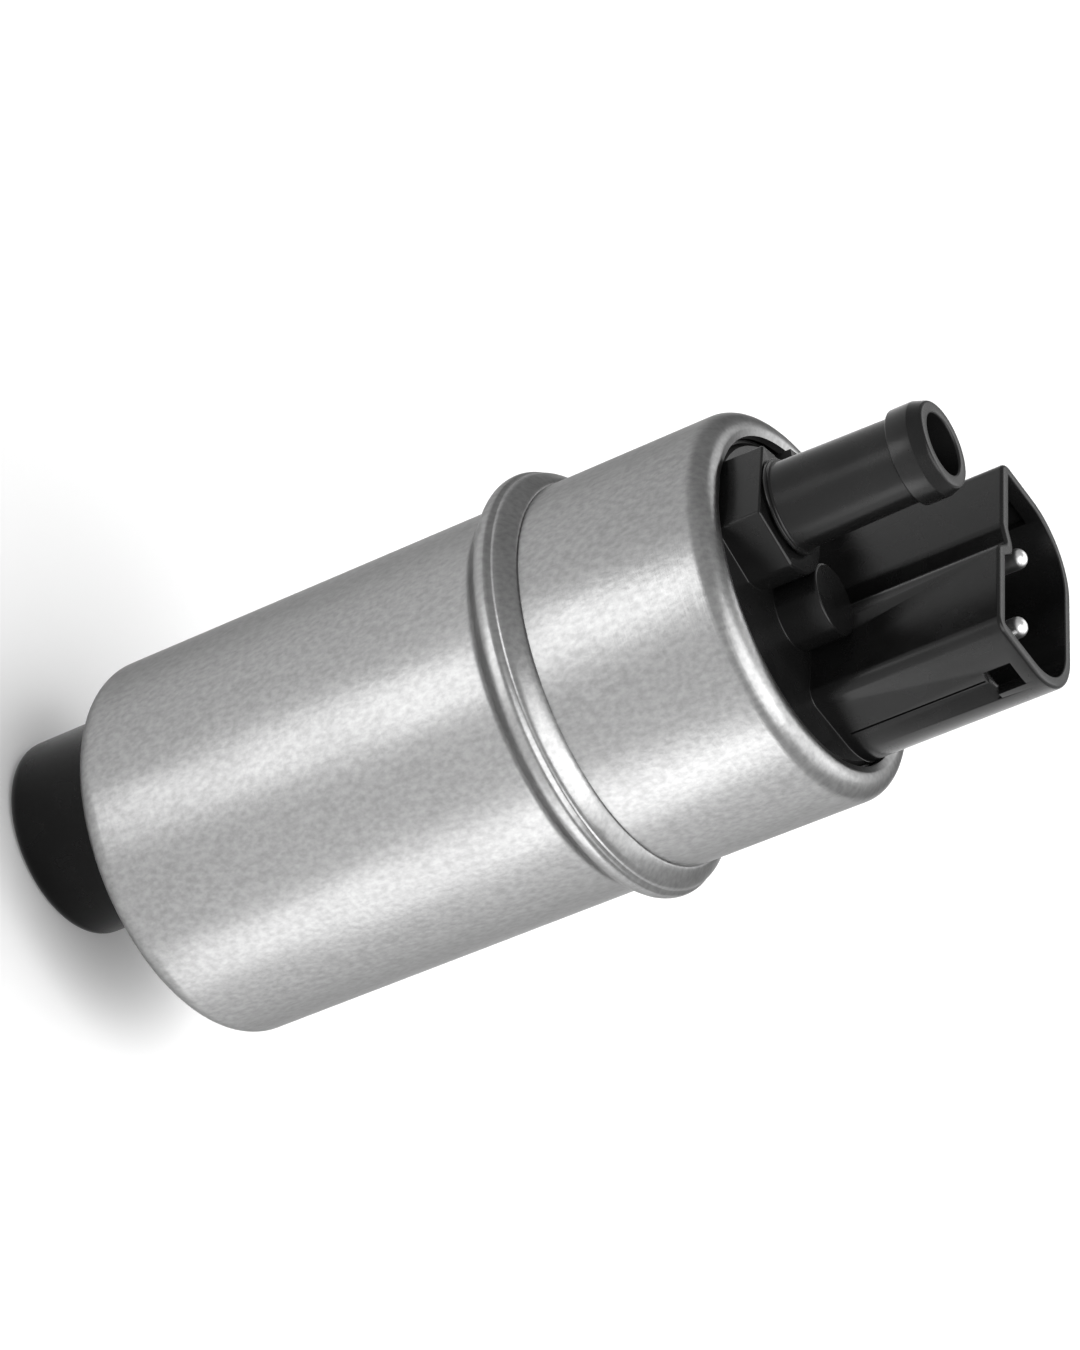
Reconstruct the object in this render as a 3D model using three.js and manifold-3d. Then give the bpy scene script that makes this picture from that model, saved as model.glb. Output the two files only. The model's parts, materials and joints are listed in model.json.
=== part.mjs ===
// Electric fuel pump for a petrol tank. A steel can with a rolled double bead holds a small motor and a
// turbine pump between an inlet cover with a neck and an outlet cover with a hose stub and a plug socket.
// Lengths are millimetres. Z runs along the pump's axis from inlet to outlet, and the origin is on that
// axis, level with the end of the inlet neck. X points from the axis to the plug socket.
import * as THREE from 'three';
import { mergeVertices } from 'three/addons/utils/BufferGeometryUtils.js';
import Module from 'manifold-3d';

const wasm = await Module();
wasm.setup();

// Clearances
const fitGap = 0.3;
const runningGap = 0.1;
const overrun = 1;

// Steel can, with its ends rolled in and a double bead rolled out
const canRadius = 19;
const canWall = 1;
const canLength = 70.2;
const footCorner = 2.5;
const mouthCorner = 2.2;
const lipWidth = 2.9;
const lipDrop = 0.25;
const beadStart = 44.6;
const beadWidth = 5.85;
const beadHeight = 2.05;

// The bead's outline from its lower foot to its upper foot, as shares of its width and height
const beadShares = [
  [0, 0], [0.07, 0.06], [0.17, 0.27], [0.27, 0.56], [0.38, 0.83], [0.46, 0.97], [0.55, 1], [0.65, 0.87],
  [0.73, 0.8], [0.84, 0.58], [0.91, 0.39], [0.96, 0.22], [1, 0],
];

// Inlet cover and its neck
const neckLength = 11;
const neckRadius = 9.9;
const neckWall = 2.4;
const neckCorner = 1.45;
const neckX = -5.3;
const neckY = 2;
const boreReach = 0.9;
const inletCoverHeight = 6.8;
const rimChamfer = 1.6;
const portRadius = 1.9;

// Seal rings
const sealRadius = 0.75;
const sealGrooveHeight = 2.1;
const inletSealRise = 3.6;
const outletSealRise = 2.2;

// Side channel pump
const impellerHeight = 3.8;
const vaneCount = 32;
const vaneDepth = 2.4;
const vanePitchShare = 0.5;
const casingWall = 2.1;
const casingCrown = 6.5;
const channelDepth = 1.1;
const channelWidth = 3.4;
const channelArc = Math.PI * 1.65;
const thrustRadius = 2;
const thrustHeight = 1.4;
const thrustPocketDepth = 2.4;

// Shaft and bearings
const shaftRadius = 2;
const bearingWall = 1.6;
const bearingHeight = 4.6;
const shaftTail = 0.9;

// Motor
const motorFloorGap = 2.2;
const fluxWall = 1.8;
const magnetWall = 2.6;
const magnetInset = 1;
const magnetArc = Math.PI * 0.72;
const clipSheet = 0.5;
const clipLeg = 2.1;
const airGap = 0.6;
const fluxOverhang = 0.6;
const slotCount = 8;
const toothShare = 0.222;
const yokeShare = 0.4355;
const shoeHeight = 1.4;
const slotMouth = 1.6;
const endWindingHeight = 3.6;
const windingInset = 1;
const commutatorRadius = 9.4;
const hubHeight = 2.6;
const segmentHeight = 1.2;
const segmentSplit = 0.6;

// Brushes and their holder
const brushWidth = 5;
const brushDepth = 4.4;
const brushLength = 5;
const brushSlack = 0.15;
const brushRadius = 7;
const holderGap = 0.8;
const commutatorGap = 1.95;
const holderHeight = 9.4;
const flowHoleRadius = 2.6;
const flowHoleAngle = Math.PI / 8;
const springRadiusShare = 0.36;
const springWire = 0.25;
const brushSpringTurns = 4;
const stripSheet = 0.5;
const stripHalf = 2.2;

// Outlet cover with its plug socket
const coverHeight = 6.05;
const faceRise = 0.45;
const skirtWall = 1.4;
const socketHeight = 19.45;
const socketFloor = 3.6;
const socketWall = 1.1;
const socketFront = 1.45;
const socketHalf = 11.15;
const socketInset = 1.1;
const hollowCorner = 0.2;
const keyStep = 0.6;
const keyShoulder = 2.35;
const keyDepth = 1.45;
const keyTip = 0.67;
const keyFoot = -0.85;
const windowFront = 6.3;
const windowWidth = 3.1;
const windowHeight = 2.8;
const windowDrop = 1.3;
const windowRecess = 0.6;
const lugInset = 0.8;
const lugAngle = Math.PI * 0.611;
const lugWidth = 2.1;
const lugHeight = 1.7;
const lugDepth = 1.3;

// Terminal pins
const pinRadius = 1;
const pinSpacing = 9;
const pinX = 8.3;
const pinDrop = 0.95;

// Boss under the hose stub, with a flat towards the can's edge and one at each side
const bossRadius = 6.2;
const bossFlat = 4.35;
const bossSideFlat = 5.46;
const bossSideAngle = Math.PI * 0.589;
const bossWall = 2.3;
const bossInset = 0.91;
const bossHeight = 4.45;
const bossFloorDrop = 0.95;

// Round pillar between the boss and the socket, as high as the boss
const pillarRadius = 3.5;
const pillarX = -1.9;
const pillarY = -3.5;

// Hose stub with its barb, and the spigot that holds it in the boss
const stubBaseRadius = 4.2;
const stubTopRadius = 3.98;
const stubBore = 2.95;
const stubFlange = 0.35;
const flangeRadius = 4.66;
const stubLength = 15.55;
const spigotDepth = 2.4;
const spigotSlack = 0.15;
const barbRadius = 4.55;
const barbStart = 3.5;
const barbLand = 2.1;
const tipRadius = 4.2;
const tipCorner = 0.4;

// Check valve in the boss and the stub
const valveSeatRadius = 1.7;
const poppetRadius = 2.6;
const poppetHeight = 1;
const poppetStem = 0.8;
const poppetStemTail = 1.2;
const poppetSealHeight = 0.6;
const valveSpringLength = 4.6;
const valveSpringTurns = 5;
const valveWire = 0.2;
const retainerHeight = 1.2;
const retainerWindowShare = 0.6;

// Relief valve in the outlet cover
const reliefInset = 6;
const reliefAngle = -Math.PI * 0.683;
const reliefBore = 1.9;
const reliefVent = 0.6;
const reliefRoof = 1.1;
const reliefSeatHeight = 0.8;
const reliefSeatBore = 0.8;
const ballRadius = 1.2;
const reliefSpringTurns = 3;
const reliefCoilShare = 0.7;

// Heights and radii that follow from the sizes above
const canFoot = neckLength;
const canMouth = canFoot + canLength;
const canBore = canRadius - canWall;
const seatRadius = canBore - fitGap;
const mouthOpening = canRadius - lipWidth;
const inletCoverFoot = canFoot + canWall + fitGap;
const inletCoverTop = inletCoverFoot + inletCoverHeight;
const casingFoot = inletCoverTop + fitGap;
const impellerTop = casingFoot + impellerHeight;
const recessTop = impellerTop + fitGap;
const casingTop = recessTop + casingCrown;
const recessRadius = seatRadius - casingWall;
const impellerRadius = recessRadius - fitGap;
const channelStart = Math.atan2(neckY, neckX);
const bearingRadius = shaftRadius + runningGap + bearingWall;
const thrustTop = inletCoverTop - thrustPocketDepth + runningGap + thrustHeight;
const coverFlangeTop = canMouth - canWall - fitGap;
const coverFace = coverFlangeTop + faceRise;
const coverFoot = coverFlangeTop - coverHeight;
const holderTop = coverFoot - holderGap;
const holderFoot = holderTop - holderHeight;
const stripTop = holderTop + stripSheet;
const shaftTop = holderFoot + fitGap + bearingHeight + shaftTail;
const segmentTop = holderFoot - commutatorGap;
const segmentFoot = segmentTop - segmentHeight;
const hubFoot = segmentFoot - hubHeight;
const brushFoot = segmentTop + fitGap;
const brushTop = brushFoot + brushLength;
const fluxFoot = casingTop + motorFloorGap;
const windingFoot = fluxFoot + fluxOverhang;
const windingTop = hubFoot - fitGap;
const fluxTop = windingTop + fluxOverhang;
const coreFoot = windingFoot + endWindingHeight + fitGap;
const coreTop = windingTop - endWindingHeight - fitGap;
const magnetOuter = seatRadius - fluxWall - fitGap;
const magnetInner = magnetOuter - magnetWall;
const coreRadius = magnetInner - airGap;
const yokeRadius = coreRadius * yokeShare;
const toothNeckHalf = yokeRadius * toothShare;
const lugRadius = mouthOpening - lugInset;
const reliefX = (mouthOpening - reliefInset) * Math.cos(reliefAngle);
const reliefY = (mouthOpening - reliefInset) * Math.sin(reliefAngle);
const socketTop = coverFace + socketHeight;
const socketBase = coverFace + socketFloor;
const socketBack = mouthOpening - socketInset;
const socketReach = mouthOpening - runningGap;
const cornerExcess = socketBack + socketHalf - socketReach;
const cornerSpan = Math.sqrt(cornerExcess ** 2 + socketReach ** 2 - socketBack ** 2 - socketHalf ** 2);
const socketCorner = cornerExcess - cornerSpan;
const pinTop = socketTop - pinDrop;
const stubX = -(mouthOpening - bossFlat - bossInset);
const bossTop = coverFace + bossHeight;
const bossFloor = coverFace - bossFloorDrop;
const flangeFoot = bossTop + fitGap;
const stubFoot = flangeFoot + stubFlange;
const stubTop = stubFoot + stubLength;
const bossBore = bossRadius - bossWall;
const poppetFoot = bossFloor + runningGap + poppetSealHeight;
const poppetTop = poppetFoot + poppetHeight;
const valveSpringFoot = poppetTop + runningGap;
const retainerFoot = valveSpringFoot + valveSpringLength + runningGap;
const retainerTop = retainerFoot + retainerHeight;
const stemTop = retainerTop + poppetStemTail;
const reliefSeatTop = coverFoot + reliefSeatHeight;
const ballCentre = reliefSeatTop + runningGap + Math.sqrt(ballRadius ** 2 - reliefSeatBore ** 2);
const reliefCeiling = coverFace - reliefRoof;

// Fineness of round pieces
const canSides = 48;
const roundSides = 36;
const smallSides = 24;
const cornerSteps = 3;

const material = (color, roughness, metalness) =>
  new THREE.MeshStandardMaterial({ color, roughness, metalness });
const steel = () => material(0xb9b9b8, 0.42, 1);
const blackPlastic = () => material(0x1d1d1e, 0.45, 0);
const rubber = () => material(0x161616, 0.8, 0);
const aluminium = () => material(0xa8a9ab, 0.5, 1);
const sintered = () => material(0x8c6f4d, 0.6, 1);
const copper = () => material(0xb06a3c, 0.35, 1);
const carbon = () => material(0x2a2a2b, 0.7, 0);
const brass = () => material(0xb8985a, 0.35, 1);
const ferrite = () => material(0x3a3a3d, 0.7, 0);
const phenolic = () => material(0x3b2a1f, 0.6, 0);
const plated = () => material(0xd4d4d2, 0.25, 1);

// A geometry as a solid, with its faces turned outwards
function solid(geometry) {
  const bare = geometry.clone();
  bare.deleteAttribute('normal');
  bare.deleteAttribute('uv');
  const merged = mergeVertices(bare);
  const position = merged.getAttribute('position');
  const corner = [0, 1, 2].map(() => new THREE.Vector3());
  const triangles = [];
  let volume = 0;
  for (let i = 0; i < merged.index.count; i += 3) {
    const face = [0, 1, 2].map((k) => merged.index.getX(i + k));
    if (new Set(face).size < face.length) continue;
    corner.forEach((c, k) => c.fromBufferAttribute(position, face[k]));
    volume += corner[0].dot(corner[1].cross(corner[2]));
    triangles.push(face);
  }
  if (volume < 0) triangles.forEach((face) => face.reverse());
  return new wasm.Manifold(new wasm.Mesh({
    numProp: 3,
    vertProperties: new Float32Array(position.array),
    triVerts: new Uint32Array(triangles.flat()),
  }));
}

// A solid turned round the Z axis from an outline of [radius, height] points, moved to x, y
function turned(outline, sides, x = 0, y = 0) {
  const onAxis = outline[0][0] === 0 && outline.at(-1)[0] === 0;
  const loop = onAxis ? outline : [...outline, outline[0]];
  const geometry = new THREE.LatheGeometry(loop.map(([r, z]) => new THREE.Vector2(r, z)), sides);
  geometry.rotateX(Math.PI / 2);
  geometry.translate(x, y, 0);
  return solid(geometry);
}

const rod = (radius, z0, z1, sides, x = 0, y = 0) =>
  turned([[0, z0], [radius, z0], [radius, z1], [0, z1]], sides, x, y);

const tube = (inner, outer, z0, z1, sides, x = 0, y = 0) =>
  turned([[inner, z0], [outer, z0], [outer, z1], [inner, z1]], sides, x, y);

// A flat outline of [x, y] points raised from z0 to z1
function raised(outline, z0, z1) {
  const shape = new THREE.Shape(outline.map(([x, y]) => new THREE.Vector2(x, y)));
  const geometry = new THREE.ExtrudeGeometry(shape, { depth: z1 - z0, bevelEnabled: false });
  geometry.translate(0, 0, z0);
  return solid(geometry);
}

function block(x0, x1, y0, y1, z0, z1) {
  const geometry = new THREE.BoxGeometry(x1 - x0, y1 - y0, z1 - z0);
  geometry.translate((x0 + x1) / 2, (y0 + y1) / 2, (z0 + z1) / 2);
  return solid(geometry);
}

const polar = (radius, angle) => [radius * Math.cos(angle), radius * Math.sin(angle)];

// Points of an arc about a centre, both ends included
function arc(x, y, radius, from, to, steps) {
  return Array.from({ length: steps + 1 }, (_, i) => {
    const [dx, dy] = polar(radius, from + ((to - from) * i) / steps);
    return [x + dx, y + dy];
  });
}

// The outline of a ring sector
function sector(inner, outer, from, to, steps) {
  return [...arc(0, 0, outer, from, to, steps), ...arc(0, 0, inner, to, from, steps)];
}

const unite = (first, ...others) => others.reduce((sum, other) => sum.add(other), first);
const cut = (first, ...others) => others.reduce((rest, other) => rest.subtract(other), first);

const pump = new THREE.Group();

function addPiece(name, body, look) {
  const mesh = body.getMesh();
  const geometry = new THREE.BufferGeometry();
  geometry.setAttribute('position', new THREE.BufferAttribute(new Float32Array(mesh.vertProperties), 3));
  geometry.setIndex(new THREE.BufferAttribute(new Uint32Array(mesh.triVerts), 1));
  geometry.computeVertexNormals();
  const piece = new THREE.Mesh(geometry, look);
  piece.name = name;
  pump.add(piece);
}

// A coil spring standing on z0, with open ends
class Helix extends THREE.Curve {
  constructor(radius, turns, z0, z1, x, y) {
    super();
    Object.assign(this, { radius, turns, z0, z1, x, y });
  }

  getPoint(t, target = new THREE.Vector3()) {
    const [dx, dy] = polar(this.radius, t * this.turns * Math.PI * 2);
    return target.set(this.x + dx, this.y + dy, this.z0 + (this.z1 - this.z0) * t);
  }
}

function coil(radius, wire, turns, z0, z1, x, y) {
  const path = new Helix(radius, turns, z0 + wire, z1 - wire, x, y);
  const wireSides = 5;
  const section = arc(0, 0, wire, 0, Math.PI * 2, wireSides).slice(0, wireSides);
  const shape = new THREE.Shape(section.map(([u, v]) => new THREE.Vector2(u, v)));
  const stepsPerTurn = 8;
  return solid(new THREE.ExtrudeGeometry(shape, { steps: turns * stepsPerTurn, extrudePath: path }));
}

// Outline of the can's outer face, or of a face set in from it, from the foot's lip to the mouth's lip
function canOutline(inset) {
  const radius = canRadius - inset;
  const foot = canFoot + inset;
  const mouth = canMouth - inset;
  const footRound = footCorner - inset;
  const mouthRound = mouthCorner - inset;
  const beadFoot = canFoot + beadStart + inset;
  const beadSpan = beadWidth - inset * 2;
  const bead = beadShares.map(([along, out]) => [radius + out * beadHeight, beadFoot + along * beadSpan]);
  return [
    [canRadius - lipWidth, foot + lipDrop * (1 - inset / canWall)],
    ...arc(radius - footRound, foot + footRound, footRound, -Math.PI / 2, 0, cornerSteps),
    ...bead,
    ...arc(radius - mouthRound, mouth - mouthRound, mouthRound, 0, Math.PI / 2, cornerSteps),
    [canRadius - lipWidth, mouth - lipDrop * (1 - inset / canWall)],
  ];
}

function addCan() {
  const outline = [...canOutline(0), ...canOutline(canWall).reverse()];
  addPiece('can_shell', turned(outline, canSides), steel());
}

// A cut along the side channel, which starts over the inlet port and faces the impeller's vanes
function sideChannel(z0, z1) {
  const inner = impellerRadius - channelWidth;
  const end = channelStart + channelArc;
  return raised(sector(inner, impellerRadius, channelStart, end, roundSides / 2), z0, z1);
}

function sealGroove(z) {
  const floor = canBore - sealRadius * 2 - fitGap - runningGap;
  return tube(floor, canBore + overrun, z, z + sealGrooveHeight, roundSides);
}

function addSealRing(name, grooveFoot) {
  const middle = grooveFoot + sealGrooveHeight / 2;
  const centre = canBore - runningGap - sealRadius;
  const ring = new THREE.TorusGeometry(centre, sealRadius, smallSides / 4, smallSides);
  ring.translate(0, 0, middle);
  addPiece(name, solid(ring), rubber());
}

function addInletCover() {
  const neckFoot = inletCoverFoot - neckLength - canWall - fitGap;
  const rim = [
    [0, inletCoverFoot], [seatRadius - rimChamfer, inletCoverFoot], [seatRadius, inletCoverFoot + rimChamfer],
    [seatRadius, inletCoverTop], [0, inletCoverTop],
  ];
  const neck = [
    [0, neckFoot],
    ...arc(neckRadius - neckCorner, neckFoot + neckCorner, neckCorner, -Math.PI / 2, 0, cornerSteps),
    [neckRadius, inletCoverFoot + overrun], [0, inletCoverFoot + overrun],
  ];
  const boreTop = inletCoverFoot + boreReach;
  const bore = rod(neckRadius - neckWall, neckFoot - overrun, boreTop, roundSides, neckX, neckY);
  const portDistance = Math.hypot(neckX, neckY) + neckRadius - neckWall - portRadius;
  const [portX, portY] = polar(portDistance, channelStart);
  const port = rod(portRadius, inletCoverFoot, inletCoverTop + overrun, smallSides, portX, portY);
  const pocketFoot = inletCoverTop - thrustPocketDepth;
  const pocket = rod(thrustRadius + runningGap, pocketFoot, inletCoverTop + overrun, smallSides);
  const body = unite(turned(rim, canSides), turned(neck, roundSides, neckX, neckY));
  const channel = sideChannel(inletCoverTop - channelDepth, inletCoverTop + overrun);
  const groove = sealGroove(inletCoverFoot + inletSealRise);
  addPiece('inlet_cover', cut(body, bore, port, pocket, channel, groove), blackPlastic());
  addSealRing('inlet_seal_ring', inletCoverFoot + inletSealRise);
  const thrustFoot = thrustTop - thrustHeight;
  addPiece('thrust_button', rod(thrustRadius, thrustFoot, thrustTop, smallSides), steel());
}

function addPumpCasing() {
  const bearingSeat = casingTop - bearingHeight - fitGap;
  const body = cut(
    rod(seatRadius, casingFoot, casingTop, canSides),
    rod(recessRadius, casingFoot - overrun, recessTop, roundSides),
    rod(shaftRadius + fitGap, casingFoot, casingTop + overrun, smallSides),
    rod(bearingRadius + runningGap, bearingSeat, casingTop + overrun, smallSides),
    sideChannel(recessTop - overrun, recessTop + channelDepth),
  );
  const [portX, portY] = polar(impellerRadius - channelWidth / 2, channelStart + channelArc);
  const port = rod(channelWidth / 2, recessTop, casingTop + overrun, smallSides, portX, portY);
  addPiece('pump_casing', cut(body, port), aluminium());
  addBearing('lower_bearing', bearingSeat + fitGap);
}

function addBearing(name, foot) {
  const bush = tube(shaftRadius + runningGap, bearingRadius, foot, foot + bearingHeight, smallSides);
  addPiece(name, bush, sintered());
}

// Turbine wheel: a disc with straight vanes cut into its rim
function addImpeller() {
  const pitch = (Math.PI * 2) / vaneCount;
  const outline = [];
  for (let i = 0; i < vaneCount; i += 1) {
    const start = i * pitch;
    const end = start + pitch * vanePitchShare;
    outline.push(polar(impellerRadius, start), polar(impellerRadius, end));
    outline.push(polar(impellerRadius - vaneDepth, end), polar(impellerRadius - vaneDepth, start + pitch));
  }
  const hole = rod(shaftRadius + runningGap, casingFoot - overrun, impellerTop + overrun, smallSides);
  addPiece('impeller', cut(raised(outline, casingFoot, impellerTop), hole), phenolic());
}

function addShaft() {
  const foot = thrustTop + runningGap;
  addPiece('rotor_shaft', rod(shaftRadius, foot, shaftTop, smallSides), steel());
}

// Half the angle left between two teeth at a radius, clear of their necks
const slotHalfAngle = (radius, neck) => Math.PI / slotCount - Math.asin(neck / radius);

// Stack of laminations: a yoke, and teeth with a shoe each
function addArmatureCore() {
  const pitch = (Math.PI * 2) / slotCount;
  const shoeInner = coreRadius - shoeHeight;
  const shoeHalf = pitch / 2 - slotMouth / 2 / coreRadius;
  const outline = [];
  for (let i = 0; i < slotCount; i += 1) {
    const middle = i * pitch;
    const rootHalf = Math.asin(toothNeckHalf / yokeRadius);
    const neckHalf = Math.asin(toothNeckHalf / shoeInner);
    outline.push(polar(yokeRadius, middle - rootHalf), polar(shoeInner, middle - neckHalf));
    outline.push(polar(shoeInner, middle - shoeHalf));
    outline.push(...arc(0, 0, coreRadius, middle - shoeHalf, middle + shoeHalf, cornerSteps));
    outline.push(polar(shoeInner, middle + shoeHalf));
    outline.push(polar(shoeInner, middle + neckHalf), polar(yokeRadius, middle + rootHalf));
  }
  const hole = rod(shaftRadius + runningGap, coreFoot - overrun, coreTop + overrun, smallSides);
  addPiece('armature_core', cut(raised(outline, coreFoot, coreTop), hole), steel());
}

// Copper in the slots, with its overhang past both ends of the core
function addWindings() {
  const inner = yokeRadius + fitGap;
  const outer = coreRadius - shoeHeight - fitGap;
  const half = (radius) => slotHalfAngle(radius, toothNeckHalf + fitGap);
  const ringInner = shaftRadius + windingInset;
  const overhang = (z0, z1) => turned([
    [ringInner, z0 + windingInset], [ringInner + windingInset, z0], [outer - windingInset, z0],
    [outer, z0 + windingInset], [outer, z1 - windingInset], [outer - windingInset, z1],
    [ringInner + windingInset, z1], [ringInner, z1 - windingInset],
  ], smallSides);
  const bars = Array.from({ length: slotCount }, (_, i) => {
    const middle = ((i + 1 / 2) * Math.PI * 2) / slotCount;
    return raised([
      polar(inner, middle - half(inner)), polar(outer, middle - half(outer)),
      polar(outer, middle + half(outer)), polar(inner, middle + half(inner)),
    ], coreFoot - fitGap - windingInset, coreTop + fitGap + windingInset);
  });
  const lower = overhang(windingFoot, coreFoot - fitGap);
  const upper = overhang(coreTop + fitGap, windingTop);
  addPiece('armature_windings', unite(lower, upper, ...bars), copper());
}

// Flat commutator: a moulded hub and a copper sector for each slot on its upper face
function addCommutator() {
  const bore = shaftRadius + runningGap;
  addPiece('commutator_hub', tube(bore, commutatorRadius, hubFoot, segmentFoot, roundSides), phenolic());
  const pitch = (Math.PI * 2) / slotCount;
  const inner = shaftRadius * 2;
  const innerSplit = segmentSplit / 2 / inner;
  const outerSplit = segmentSplit / 2 / commutatorRadius;
  for (let i = 0; i < slotCount; i += 1) {
    const start = i * pitch;
    const outline = [
      polar(inner, start + innerSplit),
      ...arc(0, 0, commutatorRadius, start + outerSplit, start + pitch - outerSplit, cornerSteps),
      polar(inner, start + pitch - innerSplit),
    ];
    addPiece(`commutator_segment_${i + 1}`, raised(outline, segmentFoot, segmentTop), copper());
  }
}

function addMagnets() {
  const outer = seatRadius;
  addPiece('flux_ring', tube(outer - fluxWall, outer, fluxFoot, fluxTop, canSides), steel());
  const z0 = fluxFoot + magnetInset;
  const z1 = fluxTop - magnetInset;
  for (const [name, middle] of [['magnet_near', -Math.PI / 2], ['magnet_far', Math.PI / 2]]) {
    const start = middle - magnetArc / 2;
    const shell = sector(magnetInner, magnetOuter, start, start + magnetArc, roundSides / 2);
    addPiece(name, raised(shell, z0, z1), ferrite());
  }
  const clipHalf = (Math.PI - magnetArc) / 2 - fitGap / magnetInner;
  for (const [name, middle] of [['magnet_clip_right', 0], ['magnet_clip_left', Math.PI]]) {
    const from = middle - clipHalf;
    const to = middle + clipHalf;
    const sheetInner = clipSheet / (magnetOuter - clipSheet);
    const legInner = magnetOuter - clipLeg;
    const sheetLeg = clipSheet / legInner;
    const strip = [
      ...arc(0, 0, magnetOuter, from, to, cornerSteps),
      polar(legInner, to), polar(legInner, to - sheetLeg),
      ...arc(0, 0, magnetOuter - clipSheet, to - sheetInner, from + sheetInner, cornerSteps),
      polar(legInner, from + sheetLeg), polar(legInner, from),
    ];
    addPiece(name, raised(strip, z0, z1), steel());
  }
}

function addBrushHolder() {
  const boxHalfX = brushWidth / 2 + brushSlack;
  const boxHalfY = brushDepth / 2 + brushSlack;
  const boxes = [-1, 1].map((side) => block(
    -boxHalfX, boxHalfX, side * brushRadius - boxHalfY, side * brushRadius + boxHalfY,
    holderFoot - overrun, holderTop + overrun,
  ));
  const holes = [0, Math.PI].flatMap((middle) => [-1, 1].map((side) => {
    const [x, y] = polar(seatRadius - casingWall - flowHoleRadius, middle + side * flowHoleAngle);
    return rod(flowHoleRadius, holderFoot - overrun, holderTop + overrun, smallSides, x, y);
  }));
  const seat = rod(bearingRadius + runningGap, holderFoot - overrun, shaftTop + fitGap, smallSides);
  const body = cut(rod(seatRadius, holderFoot, holderTop, canSides), ...boxes, ...holes, seat);
  addPiece('brush_holder', body, blackPlastic());
  addBearing('upper_bearing', holderFoot + fitGap);
}

// Each brush with its spring and the brass strip that the spring stands under
function addBrush(sign, side) {
  const y = side * brushRadius;
  const halfX = brushWidth / 2;
  const halfY = brushDepth / 2;
  const brush = block(-halfX, halfX, y - halfY, y + halfY, brushFoot, brushTop);
  addPiece(`brush_${sign}`, brush, carbon());
  const springRadius = brushWidth * springRadiusShare;
  const springFoot = brushTop + runningGap;
  const spring = coil(springRadius, springWire, brushSpringTurns, springFoot, holderTop - runningGap, 0, y);
  addPiece(`brush_spring_${sign}`, spring, steel());
  const pinY = (side * pinSpacing) / 2;
  const span = Math.atan2(pinY - y, pinX);
  const ends = [[0, y, Math.PI / 2, (Math.PI * 3) / 2], [pinX, pinY, -Math.PI / 2, Math.PI / 2]];
  const outline = ends.flatMap(([x, yy, from, to]) =>
    arc(x, yy, stripHalf, from + span, to + span, cornerSteps * 2));
  addPiece(`contact_strip_${sign}`, raised(outline, holderTop, stripTop), brass());
  const pin = turned([
    [0, stripTop], [pinRadius, stripTop],
    ...arc(0, pinTop - pinRadius, pinRadius, 0, Math.PI / 2, cornerSteps).slice(0, -1),
    [0, pinTop],
  ], smallSides / 2, pinX, pinY);
  addPiece(`terminal_pin_${sign}`, pin, plated());
}

// Outline of the plug socket, counter-clockwise. Its back corners are as round as keeps them inside the can's
// rolled lip, and its front steps back at a key groove near the middle.
function socketOutline() {
  const quarter = Math.PI / 2;
  const cornerX = socketBack - socketCorner;
  const cornerY = socketHalf - socketCorner;
  const round = hollowCorner + socketWall;
  const upperFront = socketFront + keyStep;
  return [
    ...arc(cornerX, -cornerY, socketCorner, -quarter, 0, cornerSteps * 2),
    ...arc(cornerX, cornerY, socketCorner, 0, quarter, cornerSteps * 2),
    ...arc(upperFront + round, socketHalf - round, round, quarter, quarter * 2, cornerSteps),
    [upperFront, keyShoulder], [socketFront + keyDepth, keyTip], [socketFront, keyFoot],
    ...arc(socketFront + round, round - socketHalf, round, -quarter * 2, -quarter, cornerSteps),
  ];
}

// A counter-clockwise outline with each of its edges moved inwards by a distance
function setIn(outline, distance) {
  return outline.map(([x, y], i) => {
    const [x0, y0] = outline.at(i - 1);
    const [x1, y1] = outline[(i + 1) % outline.length];
    const before = Math.hypot(x - x0, y - y0);
    const after = Math.hypot(x1 - x, y1 - y);
    const inX = (y0 - y) / before + (y - y1) / after;
    const inY = (x - x0) / before + (x1 - x) / after;
    const share = (distance * 2) / (inX ** 2 + inY ** 2);
    return [x + inX * share, y + inY * share];
  });
}

// What is cut off the boss for a flat at a distance from its axis, facing an angle
function bossCut([distance, angle]) {
  const height = bossTop - coverFlangeTop + overrun;
  const slab = new THREE.BoxGeometry(bossRadius, bossRadius * 2, height);
  slab.translate(distance + bossRadius / 2, 0, coverFlangeTop + height / 2);
  slab.rotateZ(angle);
  slab.translate(stubX, 0, 0);
  return solid(slab);
}

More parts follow.
